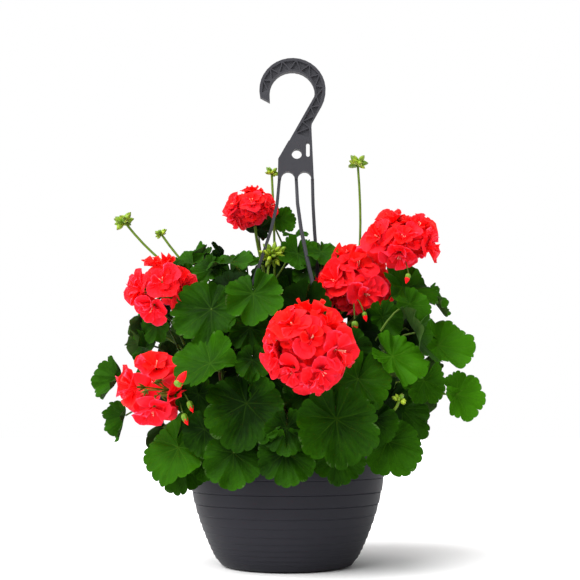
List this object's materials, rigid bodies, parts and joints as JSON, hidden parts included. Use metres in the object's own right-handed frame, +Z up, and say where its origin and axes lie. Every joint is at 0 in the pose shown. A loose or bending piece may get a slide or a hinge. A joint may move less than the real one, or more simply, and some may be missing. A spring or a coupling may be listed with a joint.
{
  "type": "flower hanging basket",
  "caption": "Banded plastic hanging pot with a one-piece hook hanger, planted with a mound of red-flowered zonal geranium.",
  "frame": {"origin": "centre of the pot's flat underside", "axes": "+Z up along the pot's axis towards the hook; -Y is the front, which the fullest flower heads face; +X is the viewer's right"},
  "size_m": [0.4969, 0.4408, 0.656],
  "materials": {
    "pot_plastic": "matt anthracite",
    "hanger_plastic": "satin anthracite",
    "potting_soil": "moist fibrous compost",
    "foliage": "soft, slightly downy leaf",
    "petals": "velvety scarlet"
  },
  "bodies": {
    "root": {"pot": "pot_plastic", "potting_soil": "potting_soil", "hanger_hook": "hanger_plastic", "hanger_neck": "hanger_plastic", "hanger_leg_1": "hanger_plastic", "hanger_leg_2": "hanger_plastic", "hanger_leg_3": "hanger_plastic", "shoot_01": "foliage", "shoot_02": "foliage", "shoot_03": "foliage", "shoot_04": "foliage", "shoot_05": "foliage", "shoot_06": "foliage", "shoot_07": "foliage", "shoot_08": "foliage", "shoot_09": "foliage", "shoot_10": "foliage", "shoot_11": "foliage", "shoot_12": "foliage", "flower_head_1": "petals", "flower_head_2": "petals", "flower_head_3": "petals", "flower_head_4": "petals", "flower_head_5": "petals", "flower_head_6": "petals", "flower_head_7": "petals", "flower_head_8": "petals"}
  },
  "joints": []
}
